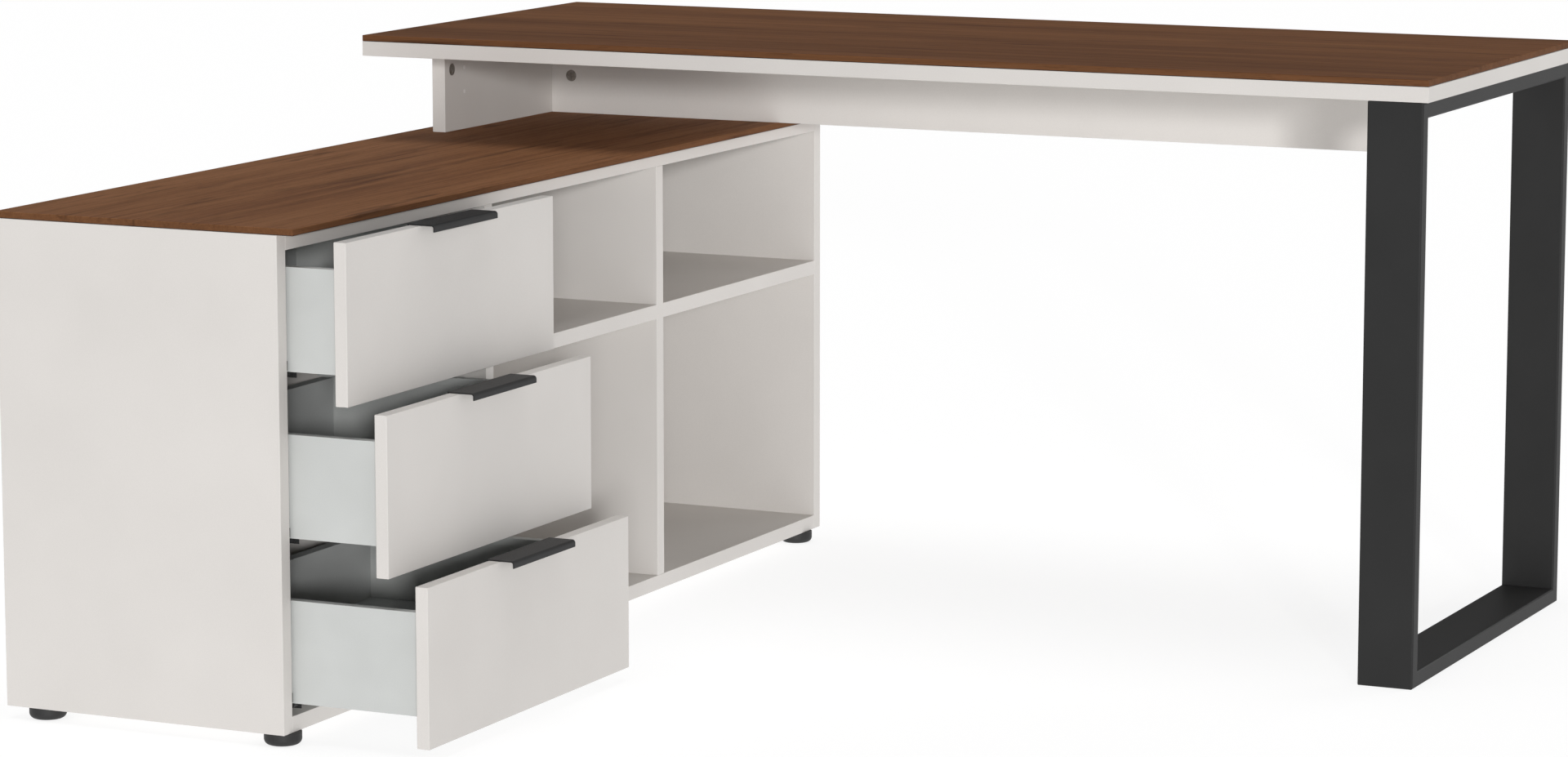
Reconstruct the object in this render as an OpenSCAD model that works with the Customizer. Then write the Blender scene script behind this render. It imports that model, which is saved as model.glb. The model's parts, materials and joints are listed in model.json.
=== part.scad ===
// Corner desk: a desk top that rests on a loop leg at the right and on a low
// cabinet at the left. The cabinet runs forward from the wall and holds three
// drawers on roller rails and four open compartments.
// Origin: the middle of the footprint, on the floor. +X right, +Y to the back.

/* [Desk] */
// Width of the desk along X, mm
desk_w = 1450; // [1350:10:1700]
// Depth of the whole desk along Y, which is also the cabinet's length, mm
desk_d = 1450; // [1400:10:1700]
// Height of the desk top above the floor, mm
desk_h = 736; // [720:1:780]
// Depth of the desk top along Y, mm
top_d = 600; // [560:10:700]
// Height of the open niche between the cabinet and the desk top, mm
niche_h = 110; // [90:1:150]

/* [Boards] */
// Thickness of the panels, mm
board_t = 19; // [18:1:22]
// Thickness of the walnut sheet on each top, mm
sheet_t = 8; // [6:1:10]
// Thickness of the drawer fronts, mm
front_t = 16; // [16:1:19]
// Thickness of the cabinet's back panel, mm
back_t = 3; // [3:0.5:5]

/* [Leg frame] */
// Width of the leg's tube along X, mm
tube_w = 70; // [50:5:90]
// Thickness of the leg's tube, mm
tube_t = 20; // [20:5:30]
// Wall thickness of the leg's tube, mm
tube_wall = 2; // [1.5:0.5:3]
// Distance from the right end of the desk top to the leg, mm
leg_inset = 6; // [0:1:20]

/* [Supports under the desk top] */
// Distance from the left end of the desk top to the support panel, mm
support_inset = 34; // [20:1:80]
// Distance from the front of the desk top to the support panel, mm
support_setback = 124; // [100:1:160]
// Length of the support panel along Y, mm
support_len = 320; // [280:10:360]
// Length of the modesty panel along X, mm
modesty_len = 1240; // [1000:10:1260]

/* [Cabinet] */
// Width of the cabinet's walnut top along X, mm
cabinet_w = 400; // [380:5:450]
// Width of the carcass along X, mm
carcass_w = 377; // [360:1:420]
// Distance from the carcass to the left end of the desk, mm
carcass_inset = 2; // [0:1:5]
// Length of the drawer bay with its end panel, mm
drawer_bay = 486; // [470:1:520]
// Length of the compartments between the drawers and the divider, mm
near_bay = 442; // [400:1:480]
// Height of the shelf's upper face above the floor, mm
shelf_top = 392; // [300:1:450]

/* [Feet] */
// Height of a foot, mm
foot_h = 15; // [15:1:25]
// Radius of a foot, mm
foot_r = 22; // [18:1:26]
// Rounding of a foot's lower edge, mm
foot_round = 7; // [4:1:7]

/* [Drawers] */
// Height of a drawer front, mm
front_h = 186.5; // [186:0.5:187]
// Length of a drawer front along Y, mm
front_w = 494; // [490:1:494]
// Gap between two drawer fronts, mm
front_gap = 5.5; // [4:0.5:6]
// Height of the lowest front above the floor, mm
front_base = 16.5; // [15:0.5:18]
// Gap between a closed front and the carcass, mm
close_gap = 2.5; // [2:0.5:4]
// Height of a drawer side, mm
side_h = 120; // [100:1:125]
// Length of a drawer side, mm
side_len = 350; // [300:10:350]
// How far the top drawer is drawn out, mm
top_open = 70; // [0:10:260]
// How far the middle drawer is drawn out, mm
middle_open = 120; // [0:10:260]
// How far the bottom drawer is drawn out, mm
bottom_open = 170; // [0:10:260]

/* [Handles] */
// Length of a handle, mm
handle_w = 152; // [120:1:200]
// How far a handle stands out in front of the drawer front, mm
handle_reach = 17.5; // [15:0.5:25]
// Depth of the lip at the handle's front edge, mm
handle_lip = 8.5; // [7:0.5:12]
// Thickness of a handle's sheet, mm
handle_t = 1.6; // [1.2:0.1:2]

/* [Hidden] */
$fn = 64;
// Clearance of a fastener in its hole, and a cutter's overrun past a face.
fit = 0.15;
over = 1;

cream = [0.84, 0.82, 0.80];
walnut = [0.40, 0.28, 0.19];
graphite = [0.22, 0.22, 0.22];
black = [0.14, 0.14, 0.14];
pale_steel = [0.79, 0.80, 0.80];
zinc = [0.52, 0.50, 0.48];
beech = [0.80, 0.66, 0.47];

// Main planes of the desk.
left_x = -desk_w / 2;
right_x = desk_w / 2;
end_y = -desk_d / 2;
back_y = desk_d / 2;
front_y = back_y - top_d;
under_z = desk_h - sheet_t - board_t;
cabinet_h = under_z - niche_h;

// Planes of the carcass: outside in X, inside in Y and Z.
carcass_x0 = left_x + carcass_inset;
carcass_x1 = carcass_x0 + carcass_w;
carcass_top = cabinet_h - sheet_t;
inner_y0 = end_y + board_t;
inner_y1 = back_y - board_t;
inner_z0 = foot_h + board_t;
inner_z1 = carcass_top - board_t;
partition_y = end_y + drawer_bay;
divider_y = partition_y + board_t + near_bay;
shelf_z = shelf_top - board_t;

// The back panel stands in a groove in the carcass.
groove = 4;
back_x = carcass_x0 + 8;
inside_x = back_x + back_t;

// Leg frame.
leg_x = right_x - leg_inset - tube_w;
tube_r = 2.5;
leg_screw_offsets = [70, 220, 380, 530];
leg_screw_r = 2.5;
leg_screw_head = [5, 2.5];
leg_screw_up = 14;
driver_hole_r = 6;

// Support panel and modesty panel.
support_x = left_x + support_inset;
support_face = support_x + board_t;
support_y = front_y + support_setback;
modesty_y = support_y + support_len - board_t;
modesty_mid = modesty_y + board_t / 2;
modesty_end = support_face + modesty_len;

// Cam fittings: a round housing in one panel draws in a bolt set in the next.
cam_r = 7.8;
cam_depth = 12.5;
cam_edge = 30;
cam_slot = [1.6, 9, 1.5];
bolt_r = 3;
bolt_thread_r = 2.5;
bolt_thread = 11;
support_cam = [support_face, support_y + 20, under_z - 28];
modesty_cam = [support_face + cam_edge, modesty_y, cabinet_h + 51];
plug_r = 2.5;
plug_depth = 6;
plug_y = support_y + 53;
plug_heights = [support_cam[2], support_cam[2] - 32];

// Dowels, each as its lower end and its direction.
dowel_r = 4;
dowel_len = 30;
dowel_deep = 12;
dowel_shallow = 8;
dowel_x = [carcass_x0 + 60, carcass_x1 - 50];
shelf_dowel_x = [carcass_x0 + 90, carcass_x1 - 80];
board_mids = [foot_h + board_t / 2, carcass_top - board_t / 2];
shelf_mid = shelf_z + board_t / 2;
carcass_dowel_ends = concat(
  [for (x = dowel_x, z = board_mids) [[x, inner_y0 - dowel_deep, z], "y"]],
  [for (x = dowel_x, z = board_mids) [[x, inner_y1 - dowel_len + dowel_deep, z], "y"]],
  [for (x = dowel_x, y = [partition_y, divider_y]) [[x, y + board_t / 2, inner_z0 - dowel_deep], "z"]],
  [for (x = dowel_x, y = [partition_y, divider_y])
    [[x, y + board_t / 2, inner_z1 - dowel_len + dowel_deep], "z"]],
  [for (x = shelf_dowel_x, y = [partition_y, divider_y])
    [[x, y + board_t - dowel_shallow, shelf_mid], "y"]],
  [for (x = shelf_dowel_x, y = [divider_y, inner_y1])
    [[x, y - dowel_len + dowel_shallow, shelf_mid], "y"]]
);
support_dowel_y = [support_y + 110, support_y + 250];
modesty_dowel_x = [support_face + 200, (support_face + modesty_end) / 2, modesty_end - 200];
desk_dowel_ends = concat(
  [for (y = support_dowel_y) [[support_x + board_t / 2, y, under_z - dowel_len + dowel_deep], "z"]],
  [for (y = support_dowel_y) [[support_x + board_t / 2, y, carcass_top - dowel_shallow], "z"]],
  [for (x = modesty_dowel_x) [[x, modesty_mid, under_z - dowel_len + dowel_deep], "z"]],
  [[[support_face - dowel_deep, modesty_mid, cabinet_h + 26], "x"]]
);

// Feet and the pins that hold them.
foot_xs = [left_x + 43, left_x + 363];
foot_ys = [end_y + 24, partition_y + board_t / 2, back_y - 44];
foot_pin_r = 1.5;
foot_pin_head = [5, 2];
foot_recess = [6, 5];
foot_pin_up = 15;

// Drawers: x is counted from the back of the front, z from its lower edge.
opens = [top_open, middle_open, bottom_open];
front_pitch = front_h + front_gap;
side_lift = 32;
side_gap = 5;
side_t = 1.5;
side_y = inner_y0 + side_gap;
side_hem = [12, 10];
ledge_z = side_lift + 10;
ledge_w = 25;
base_t = 16;
base_z = ledge_z + side_t;
drawer_back_h = 80;
bay_mid = (inner_y0 + partition_y) / 2;
front_margin = 2;
front_mid = end_y + front_margin + front_w / 2;

// Rails and rollers, z from the front's lower edge, y from the bay's wall.
rail_t = 1.2;
rail_w = 21;
rail_low = side_lift - 9;
rail_h = 22;
flange_h = 15;
rail_start = inside_x + 10;
roller_r = 8.7;
roller_z = ledge_z - 0.3 - roller_r;
roller_w = 11;
roller_y = side_gap + side_t + 0.4;
roller_in = 12;
rail_mouth = [22, 11];
bore_r = 2;

// Fixings that hold a side and a handle to the front.
plate_w = 28;
plate_h = 70;
plate_z = base_z + base_t + 2;
tab_len = 40;
fixing_r = 2;
fixing_len = 12;
fixing_head = [4, 2];
fixing_zs = [plate_z + 15, plate_z + plate_h - 15];
fixing_y = side_t + 20;
handle_leg = 25;
handle_bend = 4;
handle_screw_ys = [front_mid - handle_w / 2 + 20, front_mid + handle_w / 2 - 20];
handle_screw_drop = 20.5;
handle_screw_z = front_h - handle_screw_drop;

// ---- Shared shapes ----

// A block between two corners.
module block(low, high) {
  translate(low) cube(high - low);
}

// A round bar that starts at a point and runs along +X, +Y or +Z.
module bar(start, axis, r, len) {
  turn = axis == "x" ? [0, 90, 0] : axis == "y" ? [-90, 0, 0] : [0, 0, 0];
  translate(start) rotate(turn) cylinder(r = r, h = len);
}

// A flat outline in Y and Z, drawn out along X.
module along_x(x0, x1) {
  translate([x0, 0, 0]) rotate([90, 0, 90]) linear_extrude(x1 - x0) children();
}

// A flat outline in X and Z, drawn out along Y.
module along_y(y0, y1) {
  translate([0, y1, 0]) rotate([90, 0, 0]) linear_extrude(y1 - y0) children();
}

// A rectangle with round corners.
module round_rect(w, h, r) {
  translate([r, 0]) square([w - 2 * r, h]);
  translate([0, r]) square([w, h - 2 * r]);
  for (x = [r, w - r], y = [r, h - r]) translate([x, y]) circle(r);
}

// A piece and its twin across a plane that stands across Y.
module pair_across(mid) {
  children();
  translate([0, 2 * mid, 0]) mirror([0, 1, 0]) children();
}

module dowels(ends, grow) {
  for (d = ends) bar(d[0], d[1], dowel_r + grow, dowel_len);
}

// ---- Desk top ----

module leg_screw_set(grow) {
  for (offset = leg_screw_offsets) {
    spot = [leg_x + tube_w / 2, front_y + offset, under_z - tube_wall];
    bar(spot, "z", leg_screw_r + grow, leg_screw_up + grow);
    bar(spot - [0, 0, leg_screw_head[1]], "z", leg_screw_head[0], leg_screw_head[1]);
  }
}

module desk_top_sheet() {
  color(walnut)
    block([left_x, front_y, desk_h - sheet_t], [right_x, back_y, desk_h]);
}

module desk_top_board() {
  color(cream) difference() {
    block([left_x, front_y, under_z], [right_x, back_y, desk_h - sheet_t]);
    dowels(desk_dowel_ends, fit);
    leg_screw_set(fit);
    bar([support_x + board_t / 2, support_cam[1], under_z - over], "z",
      bolt_thread_r + fit, bolt_thread + over + fit);
  }
}

// ---- Leg frame: four lengths of flat tube, mitred and welded ----

module mitre() {
  size = 3 * tube_t;
  rotate([45, 0, 0]) translate([-over, -size, -size]) cube([tube_w + 2 * over, 2 * size, size]);
}

// A tube that stands on its end, with its outer face at y = 0.
module mitred_tube(len) {
  difference() {
    linear_extrude(len) round_rect(tube_w, tube_t, tube_r);
    translate([tube_wall, tube_wall, -over])
      cube([tube_w - 2 * tube_wall, tube_t - 2 * tube_wall, len + 2 * over]);
    mitre();
    translate([0, 0, len]) mirror([0, 0, 1]) mitre();
  }
}

module leg_front_post() {
  color(graphite) translate([leg_x, front_y, 0]) mitred_tube(under_z);
}

module leg_back_post() {
  color(graphite) translate([leg_x, back_y, 0]) mirror([0, 1, 0]) mitred_tube(under_z);
}

module leg_floor_rail() {
  color(graphite) translate([leg_x, front_y, 0]) mirror([0, 1, -1]) mitred_tube(top_d);
}

module leg_top_rail() {
  color(graphite) difference() {
    translate([leg_x, front_y, under_z]) mirror([0, 0, 1]) mirror([0, 1, -1]) mitred_tube(top_d);
    leg_screw_set(fit);
    for (offset = leg_screw_offsets)
      bar([leg_x + tube_w / 2, front_y + offset, under_z - tube_t - over], "z",
        driver_hole_r, tube_wall + 2 * over);
  }
}

module leg_screws() {
  color(zinc) leg_screw_set(0);
}

// ---- Panels between the cabinet and the desk top ----

// One cam housing with a cross slot, its open face towards +Z.
module cam_housing() {
  difference() {
    translate([0, 0, -cam_depth]) cylinder(r = cam_r, h = cam_depth);
    for (turn = [0, 90]) rotate([0, 0, turn])
      translate([-cam_slot[0] / 2, -cam_slot[1] / 2, -cam_slot[2]])
        cube([cam_slot[0], cam_slot[1], cam_slot[2] + over]);
  }
}

module cam_bolt_set(grow) {
  mid_x = support_x + board_t / 2;
  neck_z = support_cam[2] + cam_r + fit;
  bar([mid_x, support_cam[1], neck_z], "z", bolt_r + grow, under_z - neck_z);
  bar([mid_x, support_cam[1], under_z], "z", bolt_thread_r + grow, bolt_thread);
  bar([support_face, modesty_mid, modesty_cam[2]], "x", bolt_r + grow, cam_edge - cam_r - fit);
  bar([support_face - bolt_thread, modesty_mid, modesty_cam[2]], "x", bolt_thread_r + grow, bolt_thread);
}

module support_panel() {
  color(cream) difference() {
    block([support_x, support_y, cabinet_h],
      [support_face, support_y + support_len, under_z]);
    dowels(desk_dowel_ends, fit);
    bar(support_cam - [cam_depth + fit, 0, 0], "x", cam_r + fit, cam_depth + over);
    cam_bolt_set(fit);
    for (z = plug_heights)
      bar([support_face - plug_depth, plug_y, z], "x", plug_r + fit, plug_depth + over);
  }
}

module modesty_panel() {
  color(cream) difference() {
    block([support_face, modesty_y, cabinet_h], [modesty_end, modesty_y + board_t, under_z]);
    dowels(desk_dowel_ends, fit);
    bar(modesty_cam - [0, over, 0], "y", cam_r + fit, cam_depth + over + fit);
    cam_bolt_set(fit);
  }
}

module cam_housings() {
  color(zinc) {
    translate(support_cam) rotate([0, 90, 0]) cam_housing();
    translate(modesty_cam) rotate([90, 0, 0]) cam_housing();
  }
}

module cam_bolts() {
  color(zinc) cam_bolt_set(0);
}

module support_plugs() {
  color(cream) for (z = plug_heights)
    bar([support_face - plug_depth, plug_y, z], "x", plug_r, plug_depth + 0.3);
}

module desk_dowels() {
  color(beech) dowels(desk_dowel_ends, 0);
}

// ---- Cabinet ----

module back_groove(grow) {
  block([back_x - grow, inner_y0 - groove - grow, inner_z0 - groove - grow],
    [back_x + back_t + grow, inner_y1 + groove + grow, inner_z1 + groove + grow]);
}

// A carcass board with its groove and its dowel holes.
module carcass_board(low, high) {
  color(cream) difference() {
    block(low, high);
    back_groove(fit / 2);
    dowels(carcass_dowel_ends, fit);
    children();
  }
}

module cabinet_top_sheet() {
  color(walnut) difference() {
    block([left_x, end_y, carcass_top], [left_x + cabinet_w, back_y, cabinet_h]);
    dowels(desk_dowel_ends, fit);
  }
}

module cabinet_top_board() {
  carcass_board([carcass_x0, inner_y0, inner_z1], [carcass_x1, inner_y1, carcass_top])
    dowels(desk_dowel_ends, fit);
}

module cabinet_bottom_board() {
  carcass_board([carcass_x0, inner_y0, foot_h], [carcass_x1, inner_y1, inner_z0])
    foot_pin_set(fit);
}

module near_end_panel() {
  carcass_board([carcass_x0, end_y, foot_h], [carcass_x1, inner_y0, carcass_top]);
}

module far_end_panel() {
  carcass_board([carcass_x0, inner_y1, foot_h], [carcass_x1, back_y, carcass_top]);
}

// An upright between the bottom board and the top board.
module upright(y) {
  carcass_board([inside_x + fit, y, inner_z0], [carcass_x1, y + board_t, inner_z1]);
}

module drawer_partition() {
  upright(partition_y);
}

module compartment_divider() {
  upright(divider_y);
}

module shelf(y0, y1) {
  carcass_board([inside_x + fit, y0, shelf_z], [carcass_x1, y1, shelf_top]);
}

module near_shelf() {
  shelf(partition_y + board_t, divider_y);
}

module far_shelf() {
  shelf(divider_y + board_t, inner_y1);
}

module cabinet_back_panel() {
  color(cream) back_groove(0);
}

module carcass_dowels() {
  color(beech) dowels(carcass_dowel_ends, 0);
}

// ---- Feet ----

module foot_pin_set(grow) {
  for (x = foot_xs, y = foot_ys) {
    bar([x, y, foot_recess[1]], "z", foot_pin_r + grow, foot_h - foot_recess[1] + foot_pin_up + grow);
    bar([x, y, foot_recess[1] - foot_pin_head[1]], "z", foot_pin_head[0], foot_pin_head[1]);
  }
}

module foot(x, y) {
  color(black) difference() {
    translate([x, y, 0]) {
      cylinder(r = foot_r - foot_round, h = foot_h);
      translate([0, 0, foot_round]) cylinder(r = foot_r, h = foot_h - foot_round);
      rotate_extrude() translate([foot_r - foot_round, foot_round]) circle(foot_round);
    }
    bar([x, y, -over], "z", foot_recess[0], foot_recess[1] + over);
    bar([x, y, 0], "z", foot_pin_r + fit, foot_h + over);
  }
}

module foot_pins() {
  color(zinc) foot_pin_set(0);
}

// ---- Drawer rails, level 0 at the top ----

function front_z(level) = front_base + (2 - level) * front_pitch;

module rail(level) {
  z = front_z(level) + rail_low;
  difference() {
    along_x(rail_start, carcass_x1) translate([inner_y0, z]) {
      square([rail_t, rail_h]);
      square([rail_w, rail_t]);
      translate([rail_w - rail_t, 0]) square([rail_t, flange_h]);
    }
    // The mouth, where the front roller stands clear of the channel.
    block([carcass_x1 - rail_mouth[0], inner_y0 - over, z - over],
      [carcass_x1 + over, inner_y0 + rail_w - rail_t, z + rail_mouth[1]]);
  }
}

module drawer_rails(level) {
  color(pale_steel) pair_across(bay_mid) rail(level);
}

// A roller with a bore, its axis along Y.
module roller(spot) {
  difference() {
    bar(spot, "y", roller_r, roller_w);
    bar(spot - [0, over, 0], "y", bore_r, roller_w + 2 * over);
  }
}

module rail_rollers() {
  color(black) for (level = [0:2]) pair_across(bay_mid)
    roller([carcass_x1 - roller_r - 0.3, inner_y0 + roller_y, front_z(level) + roller_z]);
}

// ---- Drawers ----

// Puts a drawer's piece where its drawer stands.
module in_drawer(level) {
  translate([carcass_x1 + close_gap + opens[level], 0, front_z(level)]) children();
}

// Screws through the fixing plates and the handle, along X.
module front_screw(y, z, back, grow) {
  bar([back, y, z], "x", fixing_r + grow, fixing_len - back + grow);
  bar([back - fixing_head[1], y, z], "x", fixing_head[0], fixing_head[1]);
}

module front_screws(grow) {
  pair_across(bay_mid) for (z = fixing_zs) front_screw(side_y + fixing_y, z, -side_t, grow);
  for (y = handle_screw_ys) front_screw(y, handle_screw_z, -handle_t, grow);
}

module drawer_front(level) {
  color(cream) in_drawer(level) difference() {
    block([0, front_mid - front_w / 2, 0], [front_t, front_mid + front_w / 2, front_h]);
    front_screws(fit);
  }
}

// A bent sheet that hooks over the front's top edge and ends in a lip.
module handle_outline() {
  tip = front_t + handle_reach;
  translate([-handle_t, front_h - handle_leg]) square([handle_t, handle_leg + handle_t]);
  translate([-handle_t, front_h]) square([tip + handle_t - handle_bend, handle_t]);
  translate([tip - handle_t, front_h + handle_t - handle_lip])
    square([handle_t, handle_lip - handle_bend]);
  translate([tip - handle_bend, front_h + handle_t - handle_bend]) intersection() {
    difference() {
      circle(handle_bend);
      circle(handle_bend - handle_t);
    }
    square(handle_bend);
  }
}

module drawer_handle(level) {
  color(black) in_drawer(level) difference() {
    along_y(front_mid - handle_w / 2, front_mid + handle_w / 2) handle_outline();
    front_screws(fit);
  }
}

module near_side_shape() {
  along_x(-side_len, 0) translate([side_y, 0]) {
    translate([0, side_lift]) square([side_t, side_h]);
    translate([0, side_lift + side_h - side_t]) square([side_hem[0], side_t]);
    translate([side_hem[0] - side_t, side_lift + side_h - side_hem[1]]) square([side_t, side_hem[1]]);
    translate([0, ledge_z]) square([ledge_w, side_t]);
  }
}

module drawer_near_side(level) {
  color(pale_steel) in_drawer(level) near_side_shape();
}

module drawer_far_side(level) {
  color(pale_steel) in_drawer(level) translate([0, 2 * bay_mid, 0]) mirror([0, 1, 0]) near_side_shape();
}

// A board that stands between the two drawer sides.
module between_sides(x0, x1, z0, z1) {
  half = bay_mid - side_y - side_t - fit;
  color(pale_steel) block([x0, bay_mid - half, z0], [x1, bay_mid + half, z1]);
}

module drawer_base(level) {
  in_drawer(level) between_sides(-side_len, 0, base_z, base_z + base_t);
}

module drawer_back(level) {
  in_drawer(level)
    between_sides(-side_len, base_t - side_len, base_z + base_t, base_z + base_t + drawer_back_h);
}

module drawer_rollers(level) {
  color(black) in_drawer(level) pair_across(bay_mid)
    roller([roller_in - side_len, inner_y0 + roller_y, roller_z]);
}

// Angle plates that tie each side to the front, and all the screws.
module drawer_fixings(level) {
  color(zinc) in_drawer(level) {
    difference() {
      pair_across(bay_mid) {
        inner = side_y + side_t + fit;
        block([-side_t, inner, plate_z], [0, inner + plate_w, plate_z + plate_h]);
        block([-tab_len, inner, plate_z], [0, inner + side_t, plate_z + plate_h]);
      }
      front_screws(fit);
    }
    front_screws(0);
  }
}

desk_top_sheet();
desk_top_board();
leg_front_post();
leg_back_post();
leg_top_rail();
leg_floor_rail();
leg_screws();
modesty_panel();
support_panel();
cam_housings();
cam_bolts();
support_plugs();
desk_dowels();
cabinet_top_sheet();
cabinet_top_board();
cabinet_bottom_board();
near_end_panel();
far_end_panel();
drawer_partition();
compartment_divider();
near_shelf();
far_shelf();
cabinet_back_panel();
carcass_dowels();
foot(foot_xs[0], foot_ys[0]);  // foot_near_left
foot(foot_xs[1], foot_ys[0]);  // foot_near_right
foot(foot_xs[0], foot_ys[1]);  // foot_middle_left
foot(foot_xs[1], foot_ys[1]);  // foot_middle_right
foot(foot_xs[0], foot_ys[2]);  // foot_far_left
foot(foot_xs[1], foot_ys[2]);  // foot_far_right
foot_pins();
drawer_rails(0);  // top_drawer_rails
drawer_rails(1);  // middle_drawer_rails
drawer_rails(2);  // bottom_drawer_rails
rail_rollers();
drawer_front(0);  // top_drawer_front
drawer_handle(0);  // top_drawer_handle
drawer_near_side(0);  // top_drawer_near_side
drawer_far_side(0);  // top_drawer_far_side
drawer_base(0);  // top_drawer_base
drawer_back(0);  // top_drawer_back
drawer_rollers(0);  // top_drawer_rollers
drawer_fixings(0);  // top_drawer_fixings
drawer_front(1);  // middle_drawer_front
drawer_handle(1);  // middle_drawer_handle
drawer_near_side(1);  // middle_drawer_near_side
drawer_far_side(1);  // middle_drawer_far_side
drawer_base(1);  // middle_drawer_base
drawer_back(1);  // middle_drawer_back
drawer_rollers(1);  // middle_drawer_rollers
drawer_fixings(1);  // middle_drawer_fixings
drawer_front(2);  // bottom_drawer_front
drawer_handle(2);  // bottom_drawer_handle
drawer_near_side(2);  // bottom_drawer_near_side
drawer_far_side(2);  // bottom_drawer_far_side
drawer_base(2);  // bottom_drawer_base
drawer_back(2);  // bottom_drawer_back
drawer_rollers(2);  // bottom_drawer_rollers
drawer_fixings(2);  // bottom_drawer_fixings
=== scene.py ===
# %% [markdown]
# # A corner desk with a drawer cabinet
#
# The real desk is made of melamine-faced chipboard panels, two thin walnut
# sheets, a welded loop leg of flat steel tube, and three drawers that run on
# roller rails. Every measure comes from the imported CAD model. This file gives
# that model eased edges, finishes, light and a camera.

# %% Load the CAD model
import json
import math

import bmesh
import bpy
from mathutils import Matrix, Vector

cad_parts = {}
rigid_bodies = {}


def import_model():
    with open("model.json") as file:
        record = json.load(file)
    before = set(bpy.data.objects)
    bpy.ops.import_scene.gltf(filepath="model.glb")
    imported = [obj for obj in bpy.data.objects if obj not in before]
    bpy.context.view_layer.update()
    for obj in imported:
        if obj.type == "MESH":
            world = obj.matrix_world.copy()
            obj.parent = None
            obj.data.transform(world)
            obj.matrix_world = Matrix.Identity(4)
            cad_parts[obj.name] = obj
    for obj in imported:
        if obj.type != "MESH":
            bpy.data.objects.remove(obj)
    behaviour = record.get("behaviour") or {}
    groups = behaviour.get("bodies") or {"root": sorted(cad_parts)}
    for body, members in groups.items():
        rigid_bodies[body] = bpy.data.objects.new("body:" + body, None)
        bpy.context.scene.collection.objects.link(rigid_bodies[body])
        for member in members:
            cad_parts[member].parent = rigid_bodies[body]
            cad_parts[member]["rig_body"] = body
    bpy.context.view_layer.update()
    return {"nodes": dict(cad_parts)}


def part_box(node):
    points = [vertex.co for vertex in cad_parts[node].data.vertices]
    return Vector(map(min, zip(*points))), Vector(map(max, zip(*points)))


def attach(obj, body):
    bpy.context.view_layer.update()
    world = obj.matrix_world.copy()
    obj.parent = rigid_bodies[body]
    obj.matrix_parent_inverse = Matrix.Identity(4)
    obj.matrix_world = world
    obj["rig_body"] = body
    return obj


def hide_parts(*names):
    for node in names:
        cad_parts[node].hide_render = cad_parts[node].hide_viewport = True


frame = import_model()
mm = 0.001

# %% [markdown]
# ## Camera
#
# A long lens far from the desk keeps its upright edges almost parallel, as a
# catalogue photographer would want. The camera stands to the right of the
# desk's front, a little above the desk top, and looks slightly down. Aim, turn,
# tilt and distance are easier to think about than three raw coordinates.

# %% Place the camera
aim = Vector((-0.051, -0.015, 0.348))
turn, tilt, distance = math.radians(25.34), math.radians(8.86), 6.2
lens = bpy.data.cameras.new("long_lens")
lens.sensor_width, lens.lens = 36.0, 115.5
camera = bpy.data.objects.new("camera", lens)
bpy.context.scene.collection.objects.link(camera)
camera.rotation_euler = (math.pi / 2 - tilt, 0, turn)
camera.location = aim + distance * Vector(
    (math.sin(turn) * math.cos(tilt), -math.cos(turn) * math.cos(tilt), math.sin(tilt)))
bpy.context.scene.camera = camera
print("camera at", [round(value, 3) for value in camera.location])

# %% [markdown]
# ## A maker's helpers for finishes
#
# Paint shops quote colours as sRGB hex values, but a shader works with linear
# light, so one function converts them. A second one adds a node with its
# settings and its wires, so that each finish reads like a short recipe.

# %% Colour and node helpers
def linear(code):
    """An sRGB hex colour as linear red, green, blue and alpha."""
    channels = [int(code[i:i + 2], 16) / 255 for i in (1, 3, 5)]
    return [c / 12.92 if c <= 0.04045 else ((c + 0.055) / 1.055) ** 2.4 for c in channels] + [1.0]


def add(tree, kind, wires=None, stops=(), **settings):
    """Adds a node, sets it, and wires its inputs to values or to other nodes' outputs."""
    node = tree.nodes.new("ShaderNode" + kind)
    for name, value in settings.items():
        setattr(node, name, value)
    for name, value in (wires or {}).items():
        if isinstance(value, bpy.types.NodeSocket):
            tree.links.new(value, node.inputs[name])
        else:
            node.inputs[name].default_value = value
    for number, (place, code) in enumerate(stops):
        ramp = node.color_ramp.elements
        stop = ramp[number] if number < 2 else ramp.new(place)
        stop.position, stop.color = place, linear(code)
    return node


def new_finish(name, **shader_values):
    """A new material, its node tree and its shader with constants set on the shader's own sockets."""
    material = bpy.data.materials.new(name)
    material.use_nodes = True
    shader = material.node_tree.nodes["Principled BSDF"]
    for socket, value in shader_values.items():
        shader.inputs[socket.replace("_", " ")].default_value = value
    return material, material.node_tree, shader


print("helpers ready")

# %% [markdown]
# ## Walnut sheets
#
# The two tops are thin sheets with a matt walnut decor. Walnut has long, nearly
# straight streaks, dark flames where the fibres swell, and short pores. Each of
# these is a noise pattern pulled out along the grain to its real length and
# width. The alternative, a printed picture, would blur when seen from close by.

# %% Walnut finish
desk_tones = ((0.0, "#543722"), (0.32, "#67432a"), (0.54, "#764e32"), (0.78, "#805737"), (1.0, "#8d6241"))
cabinet_tones = ((0.0, "#61402a"), (0.32, "#7a5136"), (0.54, "#885e3f"), (0.78, "#916445"),
                 (1.0, "#9e6f4f"))
edge_tones = ((0.0, "#573925"), (0.4, "#66442c"), (0.7, "#6f4a30"), (1.0, "#7a553b"))


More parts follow.
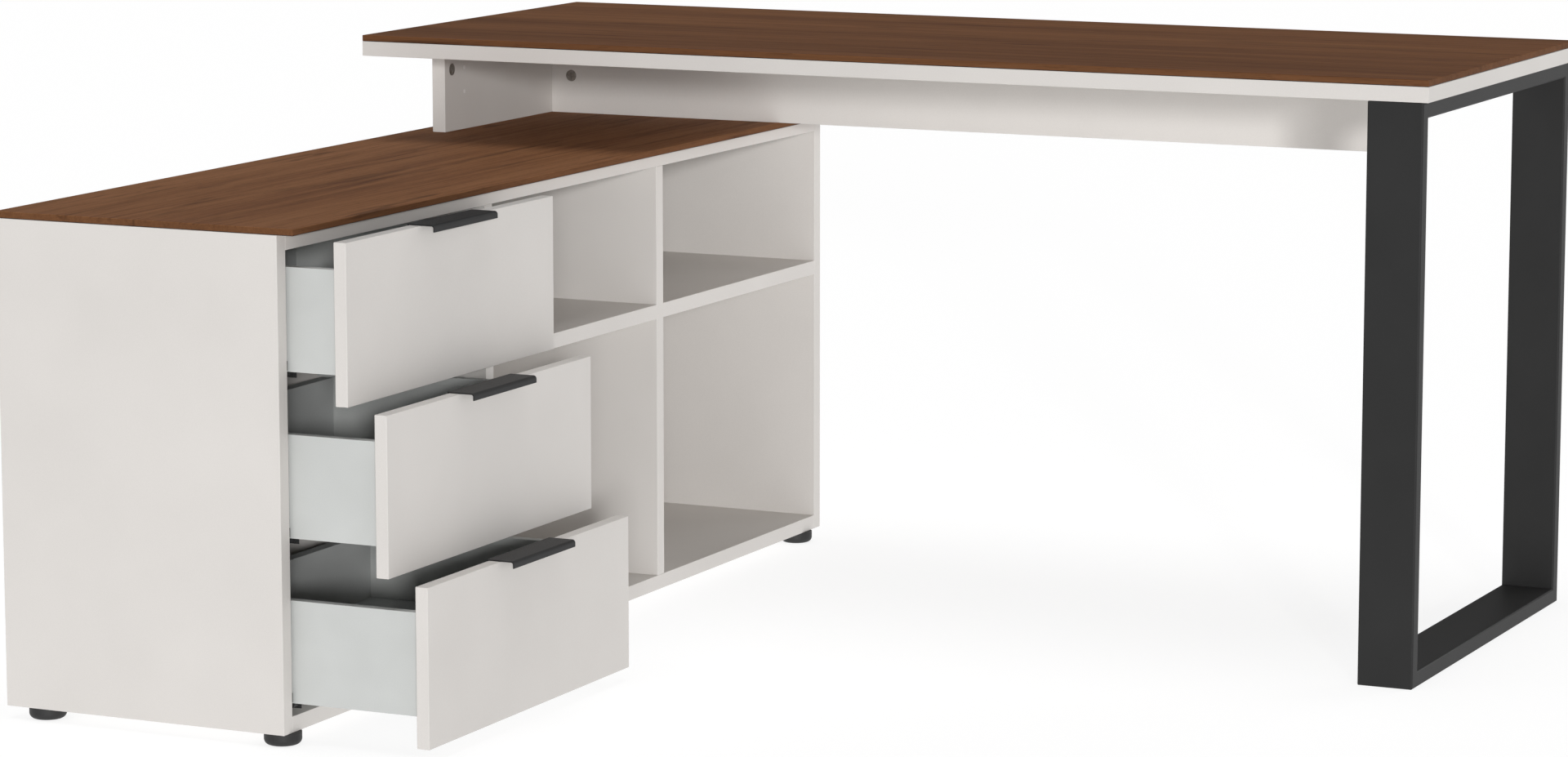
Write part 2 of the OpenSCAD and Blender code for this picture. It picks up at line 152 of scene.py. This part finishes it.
def walnut(name, grain, tones):
    """Walnut decor whose grain runs along "x" or "y"."""
    material, tree, shader = new_finish(name, Roughness=0.7, IOR=1.5, Specular_IOR_Level=0.06)
    place = add(tree, "TexCoord").outputs["Object"]

    def figure(length, width, **settings):
        along, across = 1 / (length * mm), 1 / (width * mm)
        scale = (along, across, across) if grain == "x" else (across, along, across)
        pulled = add(tree, "Mapping", {"Vector": place, "Scale": scale}).outputs["Vector"]
        return add(tree, "TexNoise", {"Vector": pulled, "Scale": 1.0, **settings}).outputs["Fac"]

    bands = figure(1900, 95, Detail=2.0, Distortion=0.3)
    streaks = figure(620, 13, Detail=6.0, Roughness=0.62, Distortion=0.5)
    fibres = figure(150, 3.2, Detail=4.0, Roughness=0.7)
    flames = add(tree, "MapRange", {"Value": figure(210, 14, Detail=3.0, Distortion=0.8),
                                    "From Min": 0.58, "From Max": 0.72}).outputs["Result"]
    pores = add(tree, "MapRange", {"Value": figure(17, 1.1, Detail=1.0),
                                   "From Min": 0.60, "From Max": 0.72}).outputs["Result"]
    wide = add(tree, "Mix", {"Factor": 0.55, "A": bands, "B": streaks}).outputs["Result"]
    tone = add(tree, "Mix", {"Factor": 0.34, "A": wide, "B": fibres}).outputs["Result"]
    spread = add(tree, "MapRange", {"Value": tone, "From Min": 0.33, "From Max": 0.67}).outputs["Result"]
    wood = add(tree, "ValToRGB", {"Fac": spread}, stops=tones).outputs["Color"]
    dark = add(tree, "Math", {0: flames, 1: 0.55}, operation="MULTIPLY").outputs["Value"]
    flamed = add(tree, "Mix", {"Factor": dark, "A": wood, "B": linear("#3a2519")},
                 data_type="RGBA").outputs["Result"]
    shade = add(tree, "Math", {0: pores, 1: 0.30}, operation="MULTIPLY").outputs["Value"]
    pored = add(tree, "Mix", {"Factor": shade, "A": flamed, "B": linear("#2c1b12")},
                data_type="RGBA").outputs["Result"]
    tree.links.new(pored, shader.inputs["Base Color"])
    relief = add(tree, "Math", {0: fibres, 1: pores}, operation="SUBTRACT").outputs["Value"]
    bump = add(tree, "Bump", {"Height": relief, "Strength": 0.5, "Distance": 0.04 * mm})
    tree.links.new(bump.outputs["Normal"], shader.inputs["Normal"])
    return material


walnut_desk = walnut("walnut_decor_along_desk", "x", desk_tones)
walnut_cabinet = walnut("walnut_decor_along_cabinet", "y", cabinet_tones)
walnut_edge_desk = walnut("walnut_edge_band_along_desk", "x", edge_tones)
walnut_edge_cabinet = walnut("walnut_edge_band_along_cabinet", "y", edge_tones)
print("walnut finishes:", [material.name for material in bpy.data.materials])

# %% [markdown]
# ## Coated, moulded and cast surfaces
#
# Melamine, powder coat, moulded plastic and cast zinc share one structure: a
# faint cloudiness in the colour over some centimetres, and a fine grain that
# scatters the light. One recipe with real sizes in millimetres serves them all,
# and each call states what the surface is. The real grain is near 0.3 mm, too
# fine to show at this distance, so it is drawn about three times as coarse.

# %% Coated, moulded and cast finishes
def coated(name, dark, light, cloud, grain, relief, rough, ior=None, metallic=0.0, gloss=0.5):
    """A plain surface: colours dark to light, cloud and grain sizes and relief in mm."""
    material, tree, shader = new_finish(name, Metallic=metallic, Specular_IOR_Level=gloss)
    if ior:
        shader.inputs["IOR"].default_value = ior
    place = add(tree, "TexCoord").outputs["Object"]
    clouds = add(tree, "TexNoise", {"Vector": place, "Scale": 1 / (cloud * mm),
                                    "Detail": 2.0}).outputs["Fac"]
    grains = add(tree, "TexNoise", {"Vector": place, "Scale": 1 / (grain * mm), "Detail": 3.0,
                                    "Roughness": 0.6}).outputs["Fac"]
    mottle = add(tree, "Mix", {"Factor": 0.5, "A": clouds, "B": grains}).outputs["Result"]
    spread = add(tree, "MapRange", {"Value": mottle, "From Min": 0.35, "From Max": 0.65}).outputs["Result"]
    colour = add(tree, "Mix", {"Factor": spread, "A": linear(dark), "B": linear(light)},
                 data_type="RGBA").outputs["Result"]
    tree.links.new(colour, shader.inputs["Base Color"])
    dull = add(tree, "MapRange", {"Value": grains, "From Min": 0.3, "From Max": 0.7,
                                  "To Min": rough[0], "To Max": rough[1]}).outputs["Result"]
    tree.links.new(dull, shader.inputs["Roughness"])
    bump = add(tree, "Bump", {"Height": grains, "Strength": 0.6, "Distance": relief * mm})
    tree.links.new(bump.outputs["Normal"], shader.inputs["Normal"])
    return material


# Cashmere melamine: paper soaked in resin and pressed on chipboard, matt with a pearl-fine grain.
cashmere = coated("cashmere_melamine_pressed", "#d2ceca", "#d8d4d0", 140, 1.2, 0.03, (0.52, 0.62),
                  1.5, gloss=0.3)
# Grey melamine on the drawer bases and backs, a plain inside quality.
grey_melamine = coated("grey_melamine_pressed", "#bdbfbe", "#c6c8c7", 120, 1.2, 0.03, (0.5, 0.6),
                       1.5, gloss=0.3)
# Graphite powder coat baked on steel tube: matt, with a slight orange peel.
graphite = coated("graphite_powder_coat_baked", "#242424", "#292929", 90, 1.0, 0.05, (0.5, 0.66),
                  1.5, gloss=0.25)
# Black powder coat on the folded steel handles, a little finer.
black_coat = coated("black_powder_coat_baked", "#1c1c1d", "#222223", 40, 0.8, 0.04, (0.46, 0.6),
                    1.5, gloss=0.3)
# Pale grey powder coat on the rolled steel sides and rails, satin.
pale_coat = coated("pale_grey_powder_coat_satin", "#bfc1bf", "#c8cac8", 80, 1.0, 0.03, (0.36, 0.46),
                   1.5, gloss=0.4)
# Black polyethylene moulded in a spark-eroded tool, which leaves it dull.
black_moulded = coated("black_polyethylene_moulded", "#252525", "#2d2d2d", 18, 0.7, 0.05, (0.5, 0.65), 1.51,
                       gloss=0.35)
# Cream caps moulded to match the melamine.
cream_moulded = coated("cream_polyethylene_moulded", "#e2dfdc", "#e9e6e3", 10, 0.6, 0.02, (0.45, 0.55),
                       1.51)
# Die-cast zinc: grey, with the dull flow pattern of the die.
cast_zinc = coated("die_cast_zinc_tumbled", "#85807a", "#a5a09a", 4, 0.8, 0.06, (0.42, 0.56), metallic=1.0)
# Zinc-plated steel screws and plates, brighter and smoother.
plated_steel = coated("zinc_plated_steel", "#a9a9a6", "#c3c3c0", 6, 0.6, 0.02, (0.26, 0.38), metallic=1.0)
# Turned beech dowels: pale, with the short brown flecks of the wood's rays.
beech = coated("beech_turned", "#b98f63", "#dcb98d", 6, 1.6, 0.05, (0.6, 0.75), 1.5, gloss=0.3)
# Painted shadow: a dark brown finish on the lower rounding of each walnut sheet draws the thin shadow line
# below the walnut.
painted_shadow_line = coated("painted_shadow_line_below_walnut", "#241811", "#30211a", 12, 0.8, 0.05, (0.5, 0.65), 1.5, gloss=0.3)
print("finishes:", len(bpy.data.materials))

# %% [markdown]
# ## Easing the edges
#
# No real panel has a knife edge: edge banding is scraped to a small radius and
# sheet steel comes off the press slightly rounded. These radii catch the light
# and draw the fine dark line where two panels meet. Each visible CAD node is
# copied, its flat faces are cleaned up, its sharp edges are bevelled, and the
# copy stands for the node. A bevel modifier would also work, but choosing the
# edges one by one leaves the hidden dowel holes alone.

# %% Helper that eases a CAD node's edges
crisp_angle = math.radians(38)  # a turn sharper than this stays a crisp corner


def even(piece):
    """Keeps the piece's corners crisp and its flat faces evenly shaded."""
    piece.data.set_sharp_from_angle(angle=crisp_angle)
    piece.modifiers.new("even_shading", "WEIGHTED_NORMAL").keep_sharp = True


def cleaned(node):
    """A CAD node's mesh, with its doubled corners welded and its flat faces made whole."""
    mesh = bmesh.new()
    mesh.from_mesh(frame["nodes"][node].data)
    bmesh.ops.remove_doubles(mesh, verts=mesh.verts, dist=0.002 * mm)
    bmesh.ops.dissolve_limit(mesh, angle_limit=math.radians(0.5), verts=mesh.verts, edges=mesh.edges)
    return mesh


def eased(nodes, width, finish, sides=None, under=None, mesh=None, name=None, shortest=6.0, sharper=50):
    """One eased piece that stands for one or more CAD nodes.

    The width of the easing and the shortest edge that gets one are in mm. An
    edge is eased if its faces turn by more than the angle sharper, in degrees.
    """
    nodes = [nodes] if isinstance(nodes, str) else list(nodes)
    name = name or nodes[0] + "_eased"
    mesh = mesh or cleaned(nodes[0])
    chosen = [edge for edge in mesh.edges if edge.is_manifold and edge.is_convex
              and edge.calc_face_angle() > math.radians(sharper) and edge.calc_length() > shortest * mm]
    bmesh.ops.bevel(mesh, geom=chosen, offset=width * mm, segments=3, profile=0.5,
                    affect="EDGES", clamp_overlap=False)
    for face in mesh.faces:
        face.smooth = True
        # Faces of the lower rounding take the third finish, the dark painted shadow line, when one is
        # given.
        if under and -0.9 < face.normal.z < -0.1:
            face.material_index = 2
        elif sides and abs(face.normal.z) < 0.7:
            face.material_index = 1
    data = bpy.data.meshes.new(name)
    mesh.to_mesh(data)
    mesh.free()
    for material in (finish, sides, under):
        if material:
            data.materials.append(material)
    piece = bpy.data.objects.new(name, data)
    bpy.context.scene.collection.objects.link(piece)
    even(piece)
    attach(piece, frame["nodes"][nodes[0]]["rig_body"])
    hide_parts(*nodes)
    return piece


def cut(piece, blades):
    """Cuts a mesh of closed blades out of a piece, and throws the blades away."""
    data = bpy.data.meshes.new("blades")
    blades.to_mesh(data)
    blades.free()
    cutter = bpy.data.objects.new("blades", data)
    bpy.context.scene.collection.objects.link(cutter)
    piece.modifiers.clear()
    knife = piece.modifiers.new("knife", "BOOLEAN")
    knife.object, knife.solver, knife.use_self = cutter, "EXACT", True
    result = bpy.data.meshes.new_from_object(piece.evaluated_get(bpy.context.evaluated_depsgraph_get()))
    piece.modifiers.clear()
    piece.data = result
    bpy.data.objects.remove(cutter)
    even(piece)


# %% [markdown]
# ## Tops
#
# Each top is a thin walnut sheet on a cream board. The sheet's faces get the
# long grain, its sides the calmer edge band, and its lower rounding a dark
# painted shadow line, so one mesh shows the whole edge of the real top.

# %% Tops
for node, face, edge in (("desk_top_sheet", walnut_desk, walnut_edge_desk),
                         ("cabinet_top_sheet", walnut_cabinet, walnut_edge_cabinet)):
    # The lower rounding of each sheet takes the dark brown painted shadow line.
    eased(node, 0.9, face, sides=edge, under=painted_shadow_line)
    print("walnut top:", node)

# %% [markdown]
# ## Panels
#
# All panels are the same board with the same melamine. Their scraped edge
# banding leaves a radius of about half a millimetre.

# %% Panels
panels = ("desk_top_board", "modesty_panel", "support_panel", "cabinet_top_board", "cabinet_bottom_board",
          "near_end_panel", "far_end_panel", "drawer_partition", "compartment_divider", "near_shelf",
          "far_shelf", "cabinet_back_panel")
for node in panels:
    eased(node, 0.6, cashmere)
print("panels:", len(panels))

# %% [markdown]
# ## Drawers and rails
#
# A drawer is a cream front with a folded black handle over its upper edge, two
# sides rolled from thin steel, and a plain grey base and back. It runs on
# rollers in a pair of steel rails. Sheet steel gets a much smaller radius than
# board. The front end of a rail is cut off from the rest of its mesh, so that it
# can take the black plastic of its nose.

# %% Drawers
levels = ("top", "middle", "bottom")
nose_length = 20 * mm
for level in levels:
    eased(f"{level}_drawer_front", 0.9, cashmere)
    eased(f"{level}_drawer_handle", 0.35, black_coat, shortest=0.0)
    for part in ("base", "back"):
        eased(f"{level}_drawer_{part}", 0.4, grey_melamine)
    for part in ("near_side", "far_side"):
        eased(f"{level}_drawer_{part}", 0.3, pale_coat, shortest=0.0)
    rails = eased(f"{level}_drawer_rails", 0.25, pale_coat, shortest=0.0)
    # The rail's front end sits in a black plastic nose, which covers the roller's seat.
    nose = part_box(f"{level}_drawer_rails")[1][0] - nose_length
    split = bmesh.new()
    split.from_mesh(rails.data)
    bmesh.ops.bisect_plane(split, geom=split.verts[:] + split.edges[:] + split.faces[:],
                           plane_co=(nose, 0, 0), plane_no=(1, 0, 0))
    for face in split.faces:
        if face.calc_center_median().x > nose:
            face.material_index = 1
    split.to_mesh(rails.data)
    split.free()
    rails.data.materials.append(black_moulded)
    eased(f"{level}_drawer_rollers", 0.6, black_moulded, shortest=0.0)
    print(level, "drawer: front, handle, sides, base, back, rails and rollers")

# %% [markdown]
# ## Leg
#
# The four tubes of the leg are mitred, welded and ground flush before they are
# coated, so no seam shows on the real loop. One closed skin is led round the
# four corners, with a second one inside it for the hollow. The loop's outer
# corners are eased, and the holes for the screws and the driver are cut last.

# %% Welded leg loop
leg_nodes = ("leg_front_post", "leg_back_post", "leg_top_rail", "leg_floor_rail")
low = [min(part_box(node)[0][axis] for node in leg_nodes) for axis in range(3)]
high = [max(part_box(node)[1][axis] for node in leg_nodes) for axis in range(3)]
tube_depth, tube_wall, tube_corner = 20 * mm, 2 * mm, 2.5 * mm


def skin(mesh, section, hollow=False):
    """Leads a closed section of (x, depth below the loop's outline) points round the four corners."""
    rings = []
    for x, depth in section:
        front, back, bottom, top = low[1] + depth, high[1] - depth, low[2] + depth, high[2] - depth
        rings.append([mesh.verts.new((x, y, z)) for y, z in (
            (front, bottom), (back, bottom), (back, top), (front, top))])
    made = []
    for ring, after in zip(rings, rings[1:] + rings[:1]):
        for corner in range(4):
            beyond = (corner + 1) % 4
            made.append(mesh.faces.new((ring[corner], ring[beyond], after[beyond], after[corner])))
    bmesh.ops.recalc_face_normals(mesh, faces=made)
    if hollow:
        bmesh.ops.reverse_faces(mesh, faces=made)


near, far = low[0] + tube_corner, high[0] - tube_corner
shallow, deep = tube_corner, tube_depth - tube_corner
outline = []  # the tube's outer section, with seven points in each quarter round
for x, depth, start in ((far, shallow, -90), (far, deep, 0), (near, deep, 90), (near, shallow, 180)):
    for step in range(7):
        angle = math.radians(start + 90 / 6 * step)
        outline.append((x + tube_corner * math.cos(angle), depth + tube_corner * math.sin(angle)))
loop = bmesh.new()
skin(loop, outline)
inner_near, inner_far, inner_deep = low[0] + tube_wall, high[0] - tube_wall, tube_depth - tube_wall
skin(loop, [(inner_near, tube_wall), (inner_far, tube_wall),
            (inner_far, inner_deep), (inner_near, inner_deep)], hollow=True)
leg = eased(leg_nodes, 0.9, graphite, mesh=loop, name="leg_loop_welded", sharper=80)

holes = bmesh.new()
screw_places = (70 * mm, 220 * mm, 380 * mm, 530 * mm)
driver_hole, screw_hole = 6 * mm, 2.65 * mm
for place in screw_places:
    for radius, depth in ((driver_hole, tube_depth - tube_wall / 2), (screw_hole, tube_wall / 2)):
        spot = Matrix.Translation(((low[0] + high[0]) / 2, low[1] + place, high[2] - depth))
        bmesh.ops.create_cone(holes, cap_ends=True, segments=32, radius1=radius, radius2=radius,
                              depth=2 * tube_wall, matrix=spot)
cut(leg, holes)
print("leg loop:", len(leg.data.polygons), "faces")

# %% [markdown]
# ## Cross recesses
#
# The handles' screws are turned with a cross-headed driver. The recess is cut
# from the head with a boolean, which is safer than modelling the star by hand on
# a round head. The cams have their cross slot from the CAD model.

# %% Helper that cuts cross recesses
def crossed(piece, spots, length, width, depth):
    """Cuts a cross into a piece at each spot: a place on the head and the way out of it. Sizes in mm."""
    star = bmesh.new()
    for place, outward in spots:
        turned = Vector(outward).to_track_quat("Z", "Y").to_matrix().to_4x4()
        turned.translation = Vector(place) * mm
        for across, along in ((length, width), (width, length)):
            bar = bmesh.ops.create_cube(star, size=mm)["verts"]
            bmesh.ops.scale(star, vec=(across, along, depth * 2), verts=bar)
            bmesh.ops.transform(star, matrix=turned, verts=bar)
    cut(piece, star)


print("cross cutter ready")

# %% [markdown]
# ## Feet and small parts
#
# The feet and rollers are moulded in black plastic, the cams are cast in zinc,
# and the plugs are cream caps. Cam bolts, leg screws, foot pins and dowels sit
# inside the panels, so their CAD meshes stay as they are and only take a finish.

# %% Feet and small parts
for side in ("near", "middle", "far"):
    for hand in ("left", "right"):
        eased(f"foot_{side}_{hand}", 0.4, black_moulded, shortest=0.0)
eased("rail_rollers", 0.6, black_moulded, shortest=0.0)
eased("cam_housings", 0.25, cast_zinc, shortest=0.0)
# The handle's screws, from the back, the lower edge and the middle of a drawer front, in mm.
head_reach, head_rise, head_offset = 3.6, 166.0, 56.0
cross_length, cross_width, cross_depth = 4.4, 0.9, 1.4
for level in levels:
    fixings = eased(f"{level}_drawer_fixings", 0.2, plated_steel, shortest=0.0)
    low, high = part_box(f"{level}_drawer_front")
    middle = (low[1] + high[1]) / 2 / mm
    heads = [((low[0] / mm - head_reach, middle + offset, low[2] / mm + head_rise), (-1, 0, 0))
             for offset in (-head_offset, head_offset)]
    crossed(fixings, heads, cross_length, cross_width, cross_depth)
    print(level, "drawer screw heads:", len(heads))
eased("support_plugs", 0.2, cream_moulded, shortest=0.0)
hidden_parts = {"cam_bolts": plated_steel, "leg_screws": plated_steel, "foot_pins": plated_steel,
                "desk_dowels": beech, "carcass_dowels": beech}
for node, finish in hidden_parts.items():
    slot = frame["nodes"][node].material_slots[0]
    slot.link, slot.material = "OBJECT", finish
print("CAD meshes kept:", list(hidden_parts))

# %% [markdown]
# ## Studio
#
# The desk stands on a white sweep that is lit from below, the usual way to
# photograph furniture on white without shadows. Two far softboxes stand close to
# the camera and reach into the compartments, and one above lights the tops. Two
# weaker ones keep the back and the left side from going dull. The dome is bright
# near the floor and dim above, so that the horizon is white from every side.

# %% Floor, dome and softboxes
floor_radius = 60.0  # metres, so far out that its rim lies on the horizon
disc = bmesh.new()
bmesh.ops.create_circle(disc, cap_ends=True, cap_tris=False, segments=96, radius=floor_radius)
floor_mesh = bpy.data.meshes.new("studio_floor")
disc.to_mesh(floor_mesh)
disc.free()
floor = bpy.data.objects.new("studio_floor", floor_mesh)
bpy.context.scene.collection.objects.link(floor)
# White acrylic lit from below gives most of its own light, and a soft contact shadow still shows.
sweep, _, _ = new_finish("white_acrylic_sweep", Roughness=0.9, Emission_Strength=0.83,
                         Emission_Color=(1, 1, 1, 1), Specular_IOR_Level=0.0,
                         Base_Color=(0.25, 0.25, 0.25, 1))
floor_mesh.materials.append(sweep)

world = bpy.data.worlds.new("pale_dome")
bpy.context.scene.world = world
world.use_nodes = True
height = add(world.node_tree, "SeparateXYZ", {
    "Vector": add(world.node_tree, "TexCoord").outputs["Generated"]}).outputs["Z"]
glow = add(world.node_tree, "MapRange", {"Value": height, "From Min": 0.10, "From Max": 0.22,
                                         "To Min": 1.0, "To Max": 0.12}).outputs["Result"]
world.node_tree.links.new(glow, world.node_tree.nodes["Background"].inputs["Strength"])
world.node_tree.nodes["Background"].inputs["Color"].default_value = (1, 1, 1, 1)


def soft_light(name, strength, spread, from_side, above):
    """A far softbox: its spread, its turn from the front towards +X and its height, in degrees."""
    light = bpy.data.lights.new(name, "SUN")
    light.energy, light.angle = strength, math.radians(spread)
    lamp = bpy.data.objects.new(name, light)
    bpy.context.scene.collection.objects.link(lamp)
    lamp.rotation_euler = (math.radians(90 - above), 0, math.radians(from_side))


soft_light("softbox_beside_camera", 1.1, 4, 31, 8.5)
soft_light("softbox_below_camera", 0.4, 5, 27.5, 5.5)
soft_light("softbox_behind_right", 0.4, 40, 150, 25)
soft_light("softbox_behind_left", 0.35, 40, 265, 20)
soft_light("softbox_overhead", 1.15, 40, 0, 86)
bpy.context.scene.view_settings.view_transform = "Standard"
